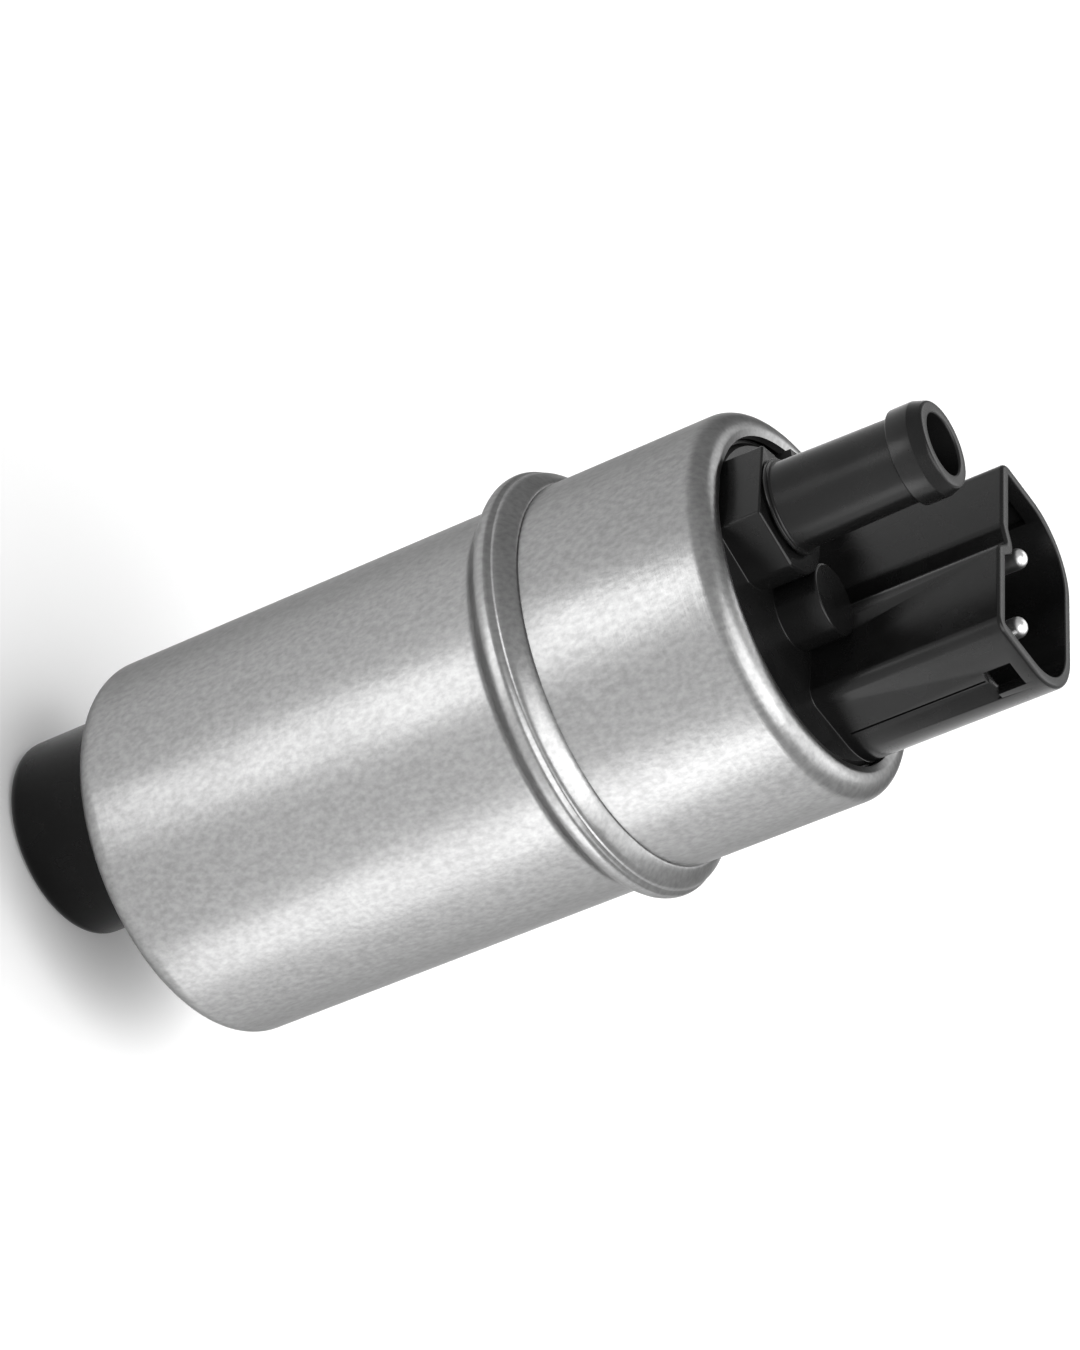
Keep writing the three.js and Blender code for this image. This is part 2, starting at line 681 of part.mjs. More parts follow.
function addOutletCover() {
  const rim = [
    [0, coverFoot], [seatRadius - skirtWall, coverFoot], [seatRadius - skirtWall, holderTop],
    [seatRadius, holderTop], [seatRadius, coverFlangeTop - rimChamfer],
    [seatRadius - rimChamfer, coverFlangeTop], [mouthOpening - fitGap, coverFlangeTop],
    [mouthOpening - fitGap - faceRise, coverFace], [0, coverFace],
  ];
  const lug = new THREE.BoxGeometry(lugDepth, lugWidth, lugHeight + faceRise);
  lug.translate(lugRadius - lugDepth / 2, 0, coverFace + (lugHeight - faceRise) / 2);
  lug.rotateZ(lugAngle);
  const flats = [[bossFlat, Math.PI], [bossSideFlat, bossSideAngle], [bossSideFlat, -bossSideAngle]];
  const body = unite(
    turned(rim, canSides),
    raised(socketOutline(), coverFlangeTop, socketTop),
    cut(rod(bossRadius, coverFlangeTop, bossTop, roundSides, stubX, 0), ...flats.map(bossCut)),
    rod(pillarRadius, coverFlangeTop, bossTop, smallSides, pillarX, pillarY),
    solid(lug),
  );
  const windowTop = socketTop - windowDrop;
  const hollowHalf = socketHalf - socketWall;
  const windowCut = (y0, y1) =>
    block(windowFront, windowFront + windowWidth, y0, y1, windowTop - windowHeight, windowTop);
  const pinHoles = [-1, 1].map((side) => {
    const y = (side * pinSpacing) / 2;
    return rod(pinRadius + runningGap, coverFoot - overrun, socketBase + overrun, smallSides / 2, pinX, y);
  });
  const hollows = [
    raised(setIn(socketOutline(), socketWall), socketBase, socketTop + overrun),
    windowCut(-socketHalf - overrun, overrun - hollowHalf),
    windowCut(hollowHalf - overrun, hollowHalf + windowRecess),
    ...pinHoles,
    sealGroove(coverFoot + outletSealRise),
    rod(bossBore, bossFloor, bossTop + overrun, roundSides, stubX, 0),
    rod(valveSeatRadius, coverFoot - overrun, bossFloor + overrun, smallSides, stubX, 0),
    rod(reliefBore, coverFoot - overrun, reliefCeiling, smallSides, reliefX, reliefY),
    rod(reliefVent, coverFoot, coverFace + overrun, smallSides, reliefX, reliefY),
  ];
  addPiece('outlet_cover', cut(body, ...hollows), blackPlastic());
  addSealRing('outlet_seal_ring', coverFoot + outletSealRise);
}

// Hose stub with a spigot in the boss, a flange on it and a barb at its end
function addHoseStub() {
  const spigot = bossBore - spigotSlack;
  const barbFoot = stubTop - barbStart;
  const outline = [
    [stubBore, flangeFoot - spigotDepth], [spigot, flangeFoot - spigotDepth], [spigot, flangeFoot],
    [flangeRadius, flangeFoot], [flangeRadius, stubFoot], [stubBaseRadius, stubFoot],
    [stubTopRadius, barbFoot], [barbRadius, barbFoot], [barbRadius, barbFoot + barbLand],
    [tipRadius, stubTop - tipCorner], [tipRadius - tipCorner, stubTop], [stubBore, stubTop],
  ];
  addPiece('hose_stub', turned(outline, roundSides, stubX, 0), blackPlastic());
}

function addCheckValve() {
  const x = stubX;
  const sealFoot = poppetFoot - poppetSealHeight;
  addPiece('check_valve_seal', rod(poppetRadius, sealFoot, poppetFoot, smallSides, x, 0), rubber());
  const poppet = turned([
    [0, poppetFoot], [poppetRadius, poppetFoot], [poppetRadius, poppetTop], [poppetStem, poppetTop],
    [poppetStem, stemTop], [0, stemTop],
  ], smallSides, x, 0);
  addPiece('check_valve_poppet', poppet, brass());
  const springRadius = (poppetStem + poppetRadius) / 2;
  const springTop = valveSpringFoot + valveSpringLength;
  const spring = coil(springRadius, valveWire, valveSpringTurns, valveSpringFoot, springTop, x, 0);
  addPiece('check_valve_spring', spring, steel());
  const outer = stubBore - runningGap;
  const inner = poppetStem + runningGap;
  const web = (outer - inner) * (1 - retainerWindowShare) / 2;
  const windowCount = 3;
  const windows = Array.from({ length: windowCount }, (_, i) => {
    const middle = (i * Math.PI * 2) / windowCount;
    const half = (Math.PI / windowCount) * retainerWindowShare;
    const outline = sector(inner + web, outer - web, middle - half, middle + half, cornerSteps);
    return raised(outline.map(([u, v]) => [u + x, v]), retainerFoot - overrun, retainerTop + overrun);
  });
  const disc = tube(inner, outer, retainerFoot, retainerTop, smallSides, x, 0);
  addPiece('check_valve_retainer', cut(disc, ...windows), brass());
}

function addReliefValve() {
  const x = reliefX;
  const y = reliefY;
  const seat = tube(reliefSeatBore, reliefBore - runningGap, coverFoot, reliefSeatTop, smallSides, x, y);
  addPiece('relief_valve_seat', seat, brass());
  const ball = new THREE.SphereGeometry(ballRadius, smallSides / 2, smallSides / 3);
  ball.translate(x, y, ballCentre);
  addPiece('relief_valve_ball', solid(ball), steel());
  const coilRadius = ballRadius * reliefCoilShare;
  const foot = ballCentre + runningGap + Math.sqrt(ballRadius ** 2 - (coilRadius - valveWire) ** 2);
  const spring = coil(coilRadius, valveWire, reliefSpringTurns, foot, reliefCeiling - runningGap, x, y);
  addPiece('relief_valve_spring', spring, steel());
}

addCan();
addInletCover();
addPumpCasing();
addImpeller();
addShaft();
addArmatureCore();
addWindings();
addCommutator();
addMagnets();
addBrushHolder();
addBrush('positive', 1);
addBrush('negative', -1);
addOutletCover();
addHoseStub();
addCheckValve();
addReliefValve();

export default pump;
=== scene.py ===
import json
import math

import bpy
from mathutils import Matrix, Vector


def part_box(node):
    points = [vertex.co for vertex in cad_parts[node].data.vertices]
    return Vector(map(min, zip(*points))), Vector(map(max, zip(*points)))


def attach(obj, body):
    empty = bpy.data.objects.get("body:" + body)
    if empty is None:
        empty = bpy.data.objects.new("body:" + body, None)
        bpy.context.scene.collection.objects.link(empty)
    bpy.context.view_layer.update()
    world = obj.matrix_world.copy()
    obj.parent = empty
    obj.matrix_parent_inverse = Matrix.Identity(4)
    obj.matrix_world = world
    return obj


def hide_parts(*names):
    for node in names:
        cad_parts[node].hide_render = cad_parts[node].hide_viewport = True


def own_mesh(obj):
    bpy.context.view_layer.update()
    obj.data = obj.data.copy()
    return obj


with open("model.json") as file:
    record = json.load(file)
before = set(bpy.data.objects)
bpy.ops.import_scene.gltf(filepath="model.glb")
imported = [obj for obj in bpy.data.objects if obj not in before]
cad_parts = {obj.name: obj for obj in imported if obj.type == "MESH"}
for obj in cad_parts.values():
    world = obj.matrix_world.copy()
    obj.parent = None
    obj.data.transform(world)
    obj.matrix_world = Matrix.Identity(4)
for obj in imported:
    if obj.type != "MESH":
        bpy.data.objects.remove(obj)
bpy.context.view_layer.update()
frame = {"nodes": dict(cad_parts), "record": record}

# Sizes are millimetres in the pump's own frame, with Z along its axis from inlet to outlet.
MM = 0.001
TURN = math.tau
QUARTER = math.pi / 2

# Steel can
CAN_RADIUS = 19.0
CAN_WALL = 1.0
FOOT_ROUND = 2.5
MOUTH_ROUND = 2.2
LIP_WIDTH = 2.9
LIP_DROP = 0.25
LIP_EDGE_SHARE = 0.8
LIP_TURN_SHARE = 0.2
BEAD_START = 44.6
BEAD_WIDTH = 5.85
BEAD_HEIGHT = 2.05
BEAD_SHARES = [
    (0.0, 0.0), (0.068, 0.06), (0.171, 0.27), (0.274, 0.56), (0.376, 0.83), (0.462, 0.966), (0.547, 1.0),
    (0.607, 0.966), (0.65, 0.87), (0.684, 0.81), (0.726, 0.8), (0.778, 0.73), (0.838, 0.585), (0.906, 0.39),
    (0.957, 0.22), (0.991, 0.07), (1.0, -0.02),
]

# Inlet neck
NECK_RADIUS = 9.9
NECK_WALL = 2.4
NECK_ROUND = 1.45
NECK_X = -5.3
NECK_Y = 2.0
NECK_BORE = 13.2
NECK_EDGE = 0.25

# Outlet cover with its plug socket
FIT = 0.3
OVERCUT = 1.0
AXIS_RADIUS = 1.0
FLANGE_DEPTH = 6.05
COVER_EDGE = 0.12
FACE_RISE = 0.45
SKIRT_WALL = 1.4
RIM_CHAMFER = 1.6
SOCKET_HEIGHT = 19.45
SOCKET_FLOOR = 3.6
SOCKET_WALL = 1.1
SOCKET_FRONT = 1.45
SOCKET_HALF = 11.15
SOCKET_INSET = 1.1
SOCKET_SLACK = 0.1
FRONT_CORNER = 1.3
KEY_STEP = 0.6
KEY_SHOULDER = 2.35
KEY_DEPTH = 1.45
KEY_TIP = 0.67
KEY_FOOT = -0.85
SHOULDER_ROUND = 1.9
TIP_ROUNDING = 0.35
HEEL_ROUND = 1.25
RIM_ROUND = 0.4
HOLLOW_ROUND = 0.15
FOOT_FILLET = 0.12
WINDOW_FRONT = 6.15
WINDOW_WIDTH = 3.1
WINDOW_HEIGHT = 2.8
WINDOW_DROP = 1.55
WINDOW_RECESS = 0.6
LEAD_FRONT = 7.5
LEAD_WIDTH = 2.4
LEAD_DROP = 0.9
LEAD_DEPTH = 0.6
GROOVE_X = 7.05
GROOVE_WIDTH = 0.22
GROOVE_DEPTH = 0.25
GROOVE_RISE = 1.0
GROOVE_GAP = 0.2
LUG_INSET = 0.8
LUG_ANGLE = math.pi * 0.611
LUG_WIDTH = 2.1
LUG_HEIGHT = 1.7
LUG_DEPTH = 1.3

# Boss with its flats, the pillar beside it, hose stub and pins
STUB_X = -10.84
BOSS_RADIUS = 6.2
BOSS_FLAT = 4.35
BOSS_SIDE_FLAT = 5.46
BOSS_SIDE_ANGLE = math.pi * 0.589
BOSS_CORNER = 0.35
BOSS_EDGE = 0.25
LEAST_CORNER = 0.05
PILLAR_RADIUS = 3.5
PILLAR_X = -1.9
PILLAR_Y = -3.5
PILLAR_DROP = 0.02
BOSS_HEIGHT = 4.45
BOSS_BORE = 3.9
BORE_MARGIN = 0.5
BOSS_FLOOR_DROP = 0.95
SEAT_BORE = 1.7
FLANGE_RADIUS = 4.66
FLANGE_HEIGHT = 0.35
FLANGE_EDGE = 0.12
SPIGOT_DEPTH = 2.4
SPIGOT_SLACK = 0.15
STUB_LENGTH = 15.55
STUB_BASE = 4.2
STUB_TOP = 3.98
STUB_BORE = 2.95
STUB_FILLET = 0.25
STUB_BORE_EDGE = 0.25
BARB_RADIUS = 4.55
BARB_START = 3.5
BARB_LAND = 2.1
BARB_NECK = 0.2
BARB_EDGE = 0.15
BARB_SHOULDER = 0.5
BARB_TURN = 0.3
TIP_RADIUS = 4.2
TIP_ROUND = 0.35
TIP_TURN = 0.2
PIN_RADIUS = 1.0
PIN_X = 8.3
PIN_SPACING = 9.0
PIN_CAP = 0.05
PIN_DOME = QUARTER * 0.96


def height_span(node):
    """Lowest and highest point of a CAD node."""
    low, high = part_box(node)
    return low.z / MM, high.z / MM


# Heights that follow, with the ends of the can and the covers read from the frame
CAN_FOOT, CAN_MOUTH = height_span("can_shell")
INLET_FOOT, INLET_TOP = height_span("inlet_cover")
SKIRT_FOOT = height_span("outlet_cover")[0]
SEAT_RADIUS = CAN_RADIUS - CAN_WALL - FIT
MOUTH_OPENING = CAN_RADIUS - LIP_WIDTH
COVER_TOP = CAN_MOUTH - CAN_WALL - FIT
COVER_FACE = COVER_TOP + FACE_RISE
SOCKET_TOP = COVER_FACE + SOCKET_HEIGHT
SOCKET_BASE = COVER_FACE + SOCKET_FLOOR
SOCKET_BACK = MOUTH_OPENING - SOCKET_INSET
SOCKET_REACH = MOUTH_OPENING - SOCKET_SLACK
CORNER_EXCESS = SOCKET_BACK + SOCKET_HALF - SOCKET_REACH
CORNER_SPAN = math.sqrt(CORNER_EXCESS ** 2 + SOCKET_REACH ** 2 - SOCKET_BACK ** 2 - SOCKET_HALF ** 2)
SOCKET_CORNER = CORNER_EXCESS - CORNER_SPAN
BOSS_TOP = COVER_FACE + BOSS_HEIGHT
FLANGE_FOOT = BOSS_TOP + FIT
STUB_FOOT = FLANGE_FOOT + FLANGE_HEIGHT
STUB_END = STUB_FOOT + STUB_LENGTH

# Fineness, and the angles in degrees above which an edge stays sharp or is rounded
CAN_SIDES = 256
ROUND_SIDES = 128
SMALL_SIDES = 64
PIN_SIDES = 48
ARC_STEPS = 8
CURVE_STEPS = 6
FLANGE_STEPS = 4
EDGE_STEPS = 5
TIP_STEPS = 6
SHARP_ANGLE = 38
SPRING_SHARP_ANGLE = 60
BEVEL_ANGLE = 50
BEVEL_SEGMENTS = 2


def polar(radius, angle):
    """The point at a distance and an angle from the origin."""
    return radius * math.cos(angle), radius * math.sin(angle)


def arc(x, y, radius, start, end, steps=ARC_STEPS):
    """Points of an arc about a centre, both ends included."""
    points = []
    for i in range(steps + 1):
        dx, dy = polar(radius, start + (end - start) * i / steps)
        points.append((x + dx, y + dy))
    return points


def cubic(p, q, r, s, t):
    """The value at a share t of the way from q to r, on a smooth curve from p to s."""
    square = 2 * p - 5 * q + 4 * r - s
    cube = 3 * q - p - 3 * r + s
    return (2 * q + (r - p) * t + square * t ** 2 + cube * t ** 3) / 2


def through(points):
    """A smooth curve through points, with a few steps between each pair."""
    ends = [points[0], *points, points[-1]]
    curve = []
    for a, b, c, d in zip(ends, ends[1:], ends[2:], ends[3:]):
        for i in range(CURVE_STEPS):
            t = i / CURVE_STEPS
            curve.append(tuple(cubic(*values, t) for values in zip(a, b, c, d)))
    return [*curve, tuple(points[-1])]


def make(name, points, faces):
    """An object from points in millimetres."""
    mesh = bpy.data.meshes.new(name)
    mesh.from_pydata([Vector(p) * MM for p in points], [], faces)
    mesh.update()
    obj = bpy.data.objects.new(name, mesh)
    bpy.context.scene.collection.objects.link(obj)
    return obj


def soften(obj, degrees=SHARP_ANGLE):
    """Smooth shading with edges kept sharp above an angle."""
    obj.data.shade_smooth()
    obj.data.set_sharp_from_angle(angle=math.radians(degrees))


def loft(name, rings, capped=True):
    """A solid through rings of equal counts of (x, y, z) points, with flat caps, or closed on itself."""
    count = len(rings[0])
    points = [p for ring in rings for p in ring]
    faces = []
    pairs = len(rings) - 1 if capped else len(rings)
    for k in range(pairs):
        low = k * count
        high = (k + 1) % len(rings) * count
        for i in range(count):
            j = (i + 1) % count
            faces.append((low + i, low + j, high + j, high + i))
    if capped:
        faces.append(tuple(range(count))[::-1])
        faces.append(tuple(range((len(rings) - 1) * count, len(rings) * count)))
    return make(name, points, faces)


def lathe(name, outline, sides, x=0.0, y=0.0, capped=False):
    """A solid turned round Z from (radius, height) points, which closes on itself or has flat caps."""
    rings = []
    for radius, height in outline:
        ring = []
        for i in range(sides):
            dx, dy = polar(radius, TURN * i / sides)
            ring.append((x + dx, y + dy, height))
        rings.append(ring)
    return loft(name, rings, capped)


def raise_loop(loop, levels):
    """Rings of a loop drawn at each (inset, height) level."""
    return [[(x, y, height) for x, y in loop(inset)] for inset, height in levels]


def combine(obj, others, operation):
    """Joins others to obj or cuts them from it, and removes them."""
    for other in others:
        modifier = obj.modifiers.new("combine", "BOOLEAN")
        modifier.operation = operation
        modifier.solver = "EXACT"
        modifier.object = other
    bpy.context.view_layer.objects.active = obj
    for modifier in list(obj.modifiers):
        bpy.ops.object.modifier_apply(modifier=modifier.name)
    for other in others:
        mesh = other.data
        bpy.data.objects.remove(other)
        bpy.data.meshes.remove(mesh)


def bevel(obj, width):
    """Rounds the edges of a solid that are sharper than an angle."""
    modifier = obj.modifiers.new("bevel", "BEVEL")
    modifier.width = width * MM
    modifier.segments = BEVEL_SEGMENTS
    modifier.limit_method = "ANGLE"
    modifier.angle_limit = math.radians(BEVEL_ANGLE)
    modifier.use_clamp_overlap = True
    bpy.context.view_layer.objects.active = obj
    bpy.ops.object.modifier_apply(modifier=modifier.name)


def box_between(name, low, high):
    """A box from its lowest to its highest corner."""
    xs, ys, zs = zip(low, high)
    points = [(x, y, z) for z in zs for y in ys for x in xs]
    faces = [(0, 2, 3, 1), (4, 5, 7, 6), (0, 1, 5, 4), (2, 6, 7, 3), (0, 4, 6, 2), (1, 3, 7, 5)]
    return make(name, points, faces)


# Finishes: how much detail a noise has, and the parts of its range that colour and gloss follow
FINE_DETAIL = 4.0
COARSE_DETAIL = 3.0
TINT_RANGE = (0.3, 0.7)
GLOSS_RANGE = (0.35, 0.65)
# A finish's patches are this many times larger than its grain
PATCH_SCALE = 8

# Greys or colours from dark to light, roughness and its spread, metallic share, grain in cells per metre,
# and depth of the grain in millimetres
INNER_FINISHES = {
    "seal_rubber": ((0.012, 0.012, 0.012), (0.02, 0.02, 0.02), 0.75, 0.08, 0.0, 3000.0, 0.01),
    "motor_steel": ((0.42, 0.42, 0.42), (0.52, 0.52, 0.52), 0.35, 0.07, 1.0, 2500.0, 0.004),
    "cast_aluminium": ((0.5, 0.5, 0.5), (0.6, 0.6, 0.6), 0.5, 0.06, 1.0, 1500.0, 0.012),
    "sintered_bronze": ((0.3, 0.2, 0.11), (0.42, 0.3, 0.18), 0.6, 0.08, 1.0, 6000.0, 0.02),
    "copper": ((0.6, 0.25, 0.12), (0.75, 0.37, 0.19), 0.32, 0.07, 1.0, 2500.0, 0.004),
    "carbon": ((0.03, 0.03, 0.03), (0.06, 0.06, 0.06), 0.65, 0.1, 0.0, 5000.0, 0.008),
    "brass": ((0.6, 0.43, 0.2), (0.7, 0.52, 0.26), 0.33, 0.06, 1.0, 2500.0, 0.004),
    "ferrite": ((0.045, 0.045, 0.045), (0.075, 0.075, 0.075), 0.7, 0.08, 0.0, 4000.0, 0.01),
    "phenolic": ((0.07, 0.038, 0.022), (0.1, 0.055, 0.033), 0.5, 0.06, 0.0, 3000.0, 0.006),
    "pin_plating": ((0.72, 0.72, 0.72), (0.82, 0.82, 0.82), 0.34, 0.05, 1.0, 3500.0, 0.002),
}

# Can: greys, roughness, then the noises' scales in cells per metre and stretches
CAN_GREYS = (0.285, 0.38)
CAN_EDGE_GREY = 0.45
CAN_ROUGHNESS = (0.29, 0.37)
CLOUD_SCALE = 130.0
HAIR_SCALE = 700.0
MOTTLE_SCALE = 1900.0
MOTTLE_STRETCH = (1.0, 1.0, 0.7)
HAIR_STRETCH = (0.12, 0.12, 6.0)
HAIR_SHARE = 0.35
MOTTLE_DEPTH = 0.026

# Black plastic: greys and specular level for each finish, then what they share. The neck's finish is the
# same black plastic made darker and less glossy, as painted shade on the inlet neck.
PLASTICS = {"cover_plastic": (0.006, 0.0085, 0.3), "neck_plastic_painted_shade": (0.003, 0.005, 0.13)}
PLASTIC_ROUGHNESS = (0.23, 0.29)
PLASTIC_PATCHES = 300.0
PLASTIC_GRAIN = 3000.0
PLASTIC_DEPTH = 0.004


def grey(value):
    return (value, value, value)


def material(name, metallic=0.0):
    """A Principled material, its nodes and its shader."""
    made = bpy.data.materials.new(name)
    made.use_nodes = True
    shader = made.node_tree.nodes["Principled BSDF"]
    shader.inputs["Metallic"].default_value = metallic
    return made, made.node_tree, shader


def texture(tree, scale, detail, stretch=(1.0, 1.0, 1.0)):
    """Noise fixed to the object, in cells per metre."""
    place = tree.nodes.new("ShaderNodeTexCoord")
    mapping = tree.nodes.new("ShaderNodeMapping")
    noise = tree.nodes.new("ShaderNodeTexNoise")
    mapping.inputs["Scale"].default_value = stretch
    noise.inputs["Scale"].default_value = scale
    noise.inputs["Detail"].default_value = detail
    tree.links.new(place.outputs["Object"], mapping.inputs["Vector"])
    tree.links.new(mapping.outputs["Vector"], noise.inputs["Vector"])
    return noise


def map_range(tree, source, span, low, high, kind="LINEAR"):
    """Maps a span of a value to low and high."""
    node = tree.nodes.new("ShaderNodeMapRange")
    node.interpolation_type = kind
    node.inputs["From Min"].default_value = span[0]
    node.inputs["From Max"].default_value = span[1]
    node.inputs["To Min"].default_value = low
    node.inputs["To Max"].default_value = high
    tree.links.new(source, node.inputs["Value"])
    return node.outputs["Result"]


def roughen(tree, shader, noise, low, high):
    """Varies the gloss between two roughnesses by a noise."""
    gloss = map_range(tree, noise.outputs["Fac"], GLOSS_RANGE, low, high)
    tree.links.new(gloss, shader.inputs["Roughness"])


def tint(tree, shader, noise, dark, light):
    """Varies the colour between two colours by a noise."""
    ramp = tree.nodes.new("ShaderNodeValToRGB")
    for element, position, color in zip(ramp.color_ramp.elements, TINT_RANGE, (dark, light)):
        element.position = position
        element.color = (*color, 1.0)
    tree.links.new(noise.outputs["Fac"], ramp.inputs["Fac"])
    tree.links.new(ramp.outputs["Color"], shader.inputs["Base Color"])


def bump(tree, shader, noise, depth):
    """Raises the surface by a noise, to a depth in millimetres."""
    node = tree.nodes.new("ShaderNodeBump")
    node.inputs["Strength"].default_value = 1.0
    node.inputs["Distance"].default_value = depth * MM
    tree.links.new(noise.outputs[0], node.inputs["Height"])
    tree.links.new(node.outputs["Normal"], shader.inputs["Normal"])


def inner_finish(name, dark, light, roughness, rough_spread, metallic, grain, depth):
    """A material whose colour and gloss vary in patches, over a finer grain."""
    made, tree, shader = material(name, metallic)
    patches = texture(tree, grain / PATCH_SCALE, COARSE_DETAIL)
    tint(tree, shader, patches, dark, light)
    roughen(tree, shader, patches, roughness - rough_spread, roughness + rough_spread)
    bump(tree, shader, texture(tree, grain, FINE_DETAIL), depth)
    return made


def can_finish():
    """Satin tinned steel with an irregular fine mottle, cloudy gloss and hair lines round it."""
    made, tree, shader = material("can_steel", 1.0)
    shader.inputs["Specular Tint"].default_value = (*grey(CAN_EDGE_GREY), 1.0)
    clouds = texture(tree, CLOUD_SCALE, COARSE_DETAIL, MOTTLE_STRETCH)
    hairs = texture(tree, HAIR_SCALE, COARSE_DETAIL, HAIR_STRETCH)
    mottle = texture(tree, MOTTLE_SCALE, FINE_DETAIL, MOTTLE_STRETCH)
    mixed = tree.nodes.new("ShaderNodeMix")
    mixed.inputs["Factor"].default_value = HAIR_SHARE
    tree.links.new(mottle.outputs["Fac"], mixed.inputs["A"])
    tree.links.new(hairs.outputs["Fac"], mixed.inputs["B"])
    tint(tree, shader, mottle, *map(grey, CAN_GREYS))
    roughen(tree, shader, clouds, *CAN_ROUGHNESS)
    bump(tree, shader, mixed, MOTTLE_DEPTH)
    return made


def plastic_finish(name, dark, light, specular):
    """Black moulded plastic with a soft, slightly patchy gloss."""
    made, tree, shader = material(name)
    shader.inputs["Specular IOR Level"].default_value = specular
    patches = texture(tree, PLASTIC_PATCHES, COARSE_DETAIL)
    tint(tree, shader, patches, grey(dark), grey(light))
    roughen(tree, shader, patches, *PLASTIC_ROUGHNESS)
    bump(tree, shader, texture(tree, PLASTIC_GRAIN, FINE_DETAIL), PLASTIC_DEPTH)
    return made


finishes = {"can_steel": can_finish()}
for plastic, values in PLASTICS.items():
    finishes[plastic] = plastic_finish(plastic, *values)
for slot_name, values in INNER_FINISHES.items():
    finishes[slot_name] = inner_finish(slot_name, *values)


def dress(obj, finish):
    """Gives an object one finish."""
    obj.data.materials.clear()
    obj.data.materials.append(finishes[finish])


def stand_for(obj, node, slot):
    """The new piece replaces a CAD node, takes its slot's finish and rides on the pump's body."""
    dress(obj, slot)
    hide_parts(node)
    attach(obj, "pump_body")


def can_outline(inset):
    """The can's face, or one set in from it, from the foot's lip to the mouth's lip."""
    radius = CAN_RADIUS - inset
    foot = CAN_FOOT + inset
    mouth = CAN_MOUTH - inset
    foot_round = FOOT_ROUND - inset
    mouth_round = MOUTH_ROUND - inset
    drop = LIP_DROP * (1 - inset / CAN_WALL)
    start = CAN_FOOT + BEAD_START + inset
    width = BEAD_WIDTH - inset * 2
    bead = [(radius + out * BEAD_HEIGHT, start + along * width) for along, out in BEAD_SHARES]
    edge = CAN_RADIUS - LIP_WIDTH
    turn = CAN_RADIUS - LIP_WIDTH * LIP_EDGE_SHARE
    turn_drop = drop * LIP_TURN_SHARE
    return [
        (edge, foot + drop), (turn, foot + turn_drop),
        *arc(radius - foot_round, foot + foot_round, foot_round, -QUARTER, 0, ARC_STEPS * 2),
        *through(bead),
        *arc(radius - mouth_round, mouth - mouth_round, mouth_round, 0, QUARTER, ARC_STEPS * 2),
        (turn, mouth - turn_drop), (edge, mouth - drop),
    ]


def build_can():
    outline = [*can_outline(0), *can_outline(CAN_WALL)[::-1]]
    can = lathe("steel_can", outline, CAN_SIDES)
    soften(can)
    stand_for(can, "can_shell", "can_steel")


def build_inlet():
    """Inlet cover with its neck, bored through, and its rim seen only from inside."""
    flange = CAN_FOOT + CAN_WALL + FIT
    rim = [
        (AXIS_RADIUS, flange), (SEAT_RADIUS - RIM_CHAMFER, flange), (SEAT_RADIUS, flange + RIM_CHAMFER),
        (SEAT_RADIUS, INLET_TOP), (AXIS_RADIUS, INLET_TOP),
    ]
    cover = lathe("inlet_cover_moulded", rim, ROUND_SIDES, capped=True)
    neck_outline = [
        (NECK_RADIUS - NECK_ROUND, INLET_FOOT),
        *arc(NECK_RADIUS - NECK_ROUND, INLET_FOOT + NECK_ROUND, NECK_ROUND, -QUARTER, 0),
        (NECK_RADIUS, flange + OVERCUT),
    ]
    neck = lathe("neck", neck_outline, ROUND_SIDES, NECK_X, NECK_Y, capped=True)
    bore_radius = NECK_RADIUS - NECK_WALL
    bore_outline = [(bore_radius, INLET_FOOT - OVERCUT), (bore_radius, INLET_FOOT + NECK_BORE)]
    bore = lathe("bore", bore_outline, ROUND_SIDES, NECK_X, NECK_Y, capped=True)
    combine(cover, [neck], "UNION")
    combine(cover, [bore], "DIFFERENCE")
    bevel(cover, NECK_EDGE)
    soften(cover)
    stand_for(cover, "inlet_cover", "cover_plastic")
    # The whole inlet cover takes the darker, less glossy copy of the black plastic: painted shade for the
    # neck.
    dress(cover, "neck_plastic_painted_shade")


def fillet(corner, before, after, radius):
    """Points of a rounded corner between two straight lines."""
    a = (Vector(before) - Vector(corner)).normalized()
    b = (Vector(after) - Vector(corner)).normalized()
    half = a.angle(b) / 2
    centre = Vector(corner) + (a + b).normalized() * (radius / math.sin(half))
    start = Vector(corner) + a * (radius / math.tan(half)) - centre
    end = Vector(corner) + b * (radius / math.tan(half)) - centre
    from_angle = math.atan2(start.y, start.x)
    sweep = (math.atan2(end.y, end.x) - from_angle + math.pi) % TURN - math.pi
    return arc(centre.x, centre.y, radius, from_angle, from_angle + sweep)


def shifted(a, b, inset):
    """The line from a to b moved to its left by inset, as a point and a direction."""
    along = (Vector(b) - Vector(a)).normalized()
    side = Vector((-along.y, along.x)) * inset
    return Vector(a) + side, along


def crossing(first, second):
    """Where two lines cross, each given as a point and a direction."""
    (p, u), (q, v) = first, second
    t = (q - p).cross(v) / u.cross(v)
    return p + u * t


